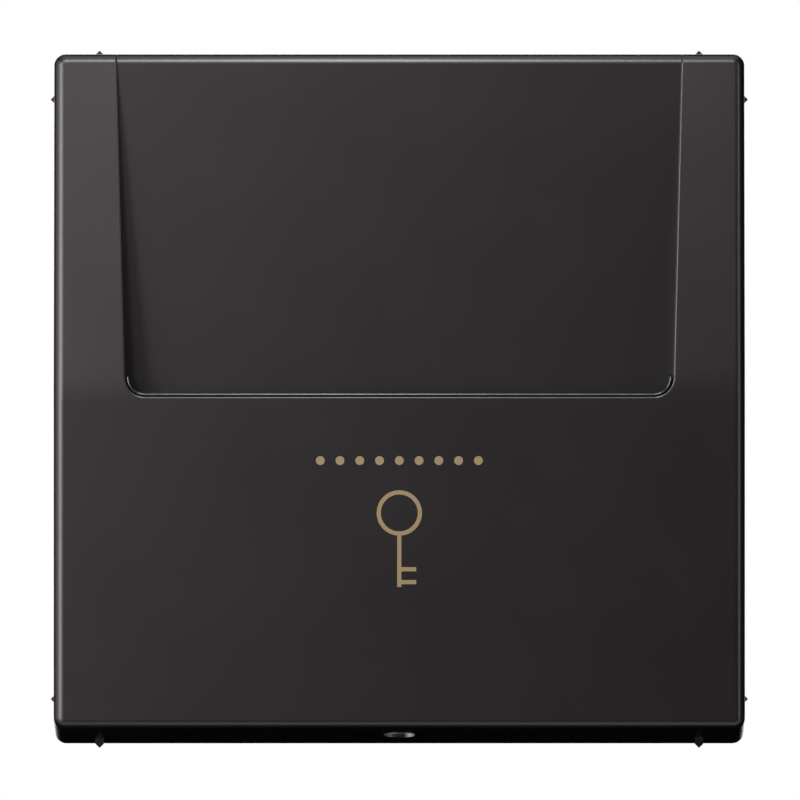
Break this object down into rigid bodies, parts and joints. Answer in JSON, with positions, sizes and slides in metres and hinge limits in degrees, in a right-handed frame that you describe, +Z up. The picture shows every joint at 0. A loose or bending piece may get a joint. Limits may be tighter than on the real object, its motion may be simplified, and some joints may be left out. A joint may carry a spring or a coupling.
{
  "type": "hotel key card switch",
  "caption": "Square flush wall switch with a sunk recess and slot for a key card, which turns the room's power on while the card is in.",
  "frame": {"origin": "middle of the support frame's back face, on the wall plane, midway between the box screws", "axes": "+X right and +Z up as seen from the front, +Y into the wall"},
  "size_m": [0.0708, 0.0377, 0.0708],
  "materials": {
    "cover_lacquer": "dark warm grey satin lacquer",
    "black_plastic": "black, finely eroded",
    "natural_plastic": "natural white, slippery",
    "grey_plastic": "mid grey, moulded",
    "pale_plastic": "pale grey thermoset",
    "red_plastic": "dull red, moulded",
    "orange_plastic": "orange, moulded",
    "clear_plastic": "clear polished acrylic",
    "lamp_glass": "clear glass with an orange glow",
    "zinc_steel": "bright zinc plated sheet",
    "spring_steel": "drawn spring wire and leaf",
    "screw_steel": "yellow passivated zinc",
    "contact_brass": "stamped brass",
    "contact_silver": "silver contact faces"
  },
  "bodies": {
    "insert": {"front_cover": "cover_lacquer", "card_guide": "black_plastic", "guide_screws": "screw_steel", "slider_springs": "spring_steel", "card_grip_springs": "spring_steel", "light_pipe": "clear_plastic", "mounting_carrier": "grey_plastic", "carrier_screws": "screw_steel", "support_frame": "zinc_steel", "socket_housing": "pale_plastic", "mechanism_cover": "pale_plastic", "mechanism_screws": "screw_steel", "plunger_spring": "spring_steel", "fixed_contact_left": "contact_brass", "fixed_contact_right": "contact_brass", "fixed_rivets": "contact_silver", "clamp_spring_left": "spring_steel", "clamp_spring_right": "spring_steel", "glow_lamp": "lamp_glass", "lamp_holder": "black_plastic", "lamp_contacts": "contact_brass"},
    "slider": {"card_slider": "natural_plastic"},
    "plunger": {"push_plunger": "red_plastic", "contact_bridge": "contact_brass", "bridge_contacts": "contact_silver", "overtravel_spring": "spring_steel"},
    "release_button_left": {"release_button_left": "orange_plastic"},
    "release_button_right": {"release_button_right": "orange_plastic"},
    "claw_left": {"claw_left": "zinc_steel"},
    "claw_right": {"claw_right": "zinc_steel"},
    "claw_screw_left": {"claw_screw_left": "screw_steel"},
    "claw_screw_right": {"claw_screw_right": "screw_steel"}
  },
  "joints": [
    {"name": "slider_travel", "type": "slide", "parent": "insert", "child": "slider", "axis": [0, 0, -1], "range_m": [0, 0.004], "stiffness_N_per_m": 250, "springref_m": -0.003, "deforming": ["slider_springs"]},
    {"name": "plunger_travel", "type": "slide", "parent": "insert", "child": "plunger", "axis": [0, 1, 0], "range_m": [0, 0.0014], "stiffness_N_per_m": 300, "springref_m": -0.002, "deforming": ["plunger_spring"]},
    {"name": "release_left_travel", "type": "slide", "parent": "insert", "child": "release_button_left", "axis": [0, -1, 0], "range_m": [0, 0.0015], "stiffness_N_per_m": 800, "springref_m": -0.001, "deforming": ["clamp_spring_left"]},
    {"name": "release_right_travel", "type": "slide", "parent": "insert", "child": "release_button_right", "axis": [0, -1, 0], "range_m": [0, 0.0015], "stiffness_N_per_m": 800, "springref_m": -0.001, "deforming": ["clamp_spring_right"]},
    {"name": "claw_screw_left_turn", "type": "hinge", "parent": "insert", "child": "claw_screw_left", "pos_m": [-0.0246, 0, 0], "axis": [0, 1, 0], "range_deg": [0, 1800]},
    {"name": "claw_screw_right_turn", "type": "hinge", "parent": "insert", "child": "claw_screw_right", "pos_m": [0.0246, 0, 0], "axis": [0, 1, 0], "range_deg": [0, 1800]},
    {"name": "claw_left_swing", "type": "hinge", "parent": "insert", "child": "claw_left", "pos_m": [-0.0218, 0.0024, 0], "axis": [0, 0, 1], "range_deg": [0, 30]},
    {"name": "claw_right_swing", "type": "hinge", "parent": "insert", "child": "claw_right", "pos_m": [0.0218, 0.0024, 0], "axis": [0, 0, -1], "range_deg": [0, 30]}
  ],
  "couplings": [
    {"joint": "plunger_travel", "follows": "slider_travel", "ratio": 0.35},
    {"joint": "claw_left_swing", "follows": "claw_screw_left_turn", "ratio": 0.016666},
    {"joint": "claw_right_swing", "follows": "claw_screw_right_turn", "ratio": 0.016666}
  ]
}
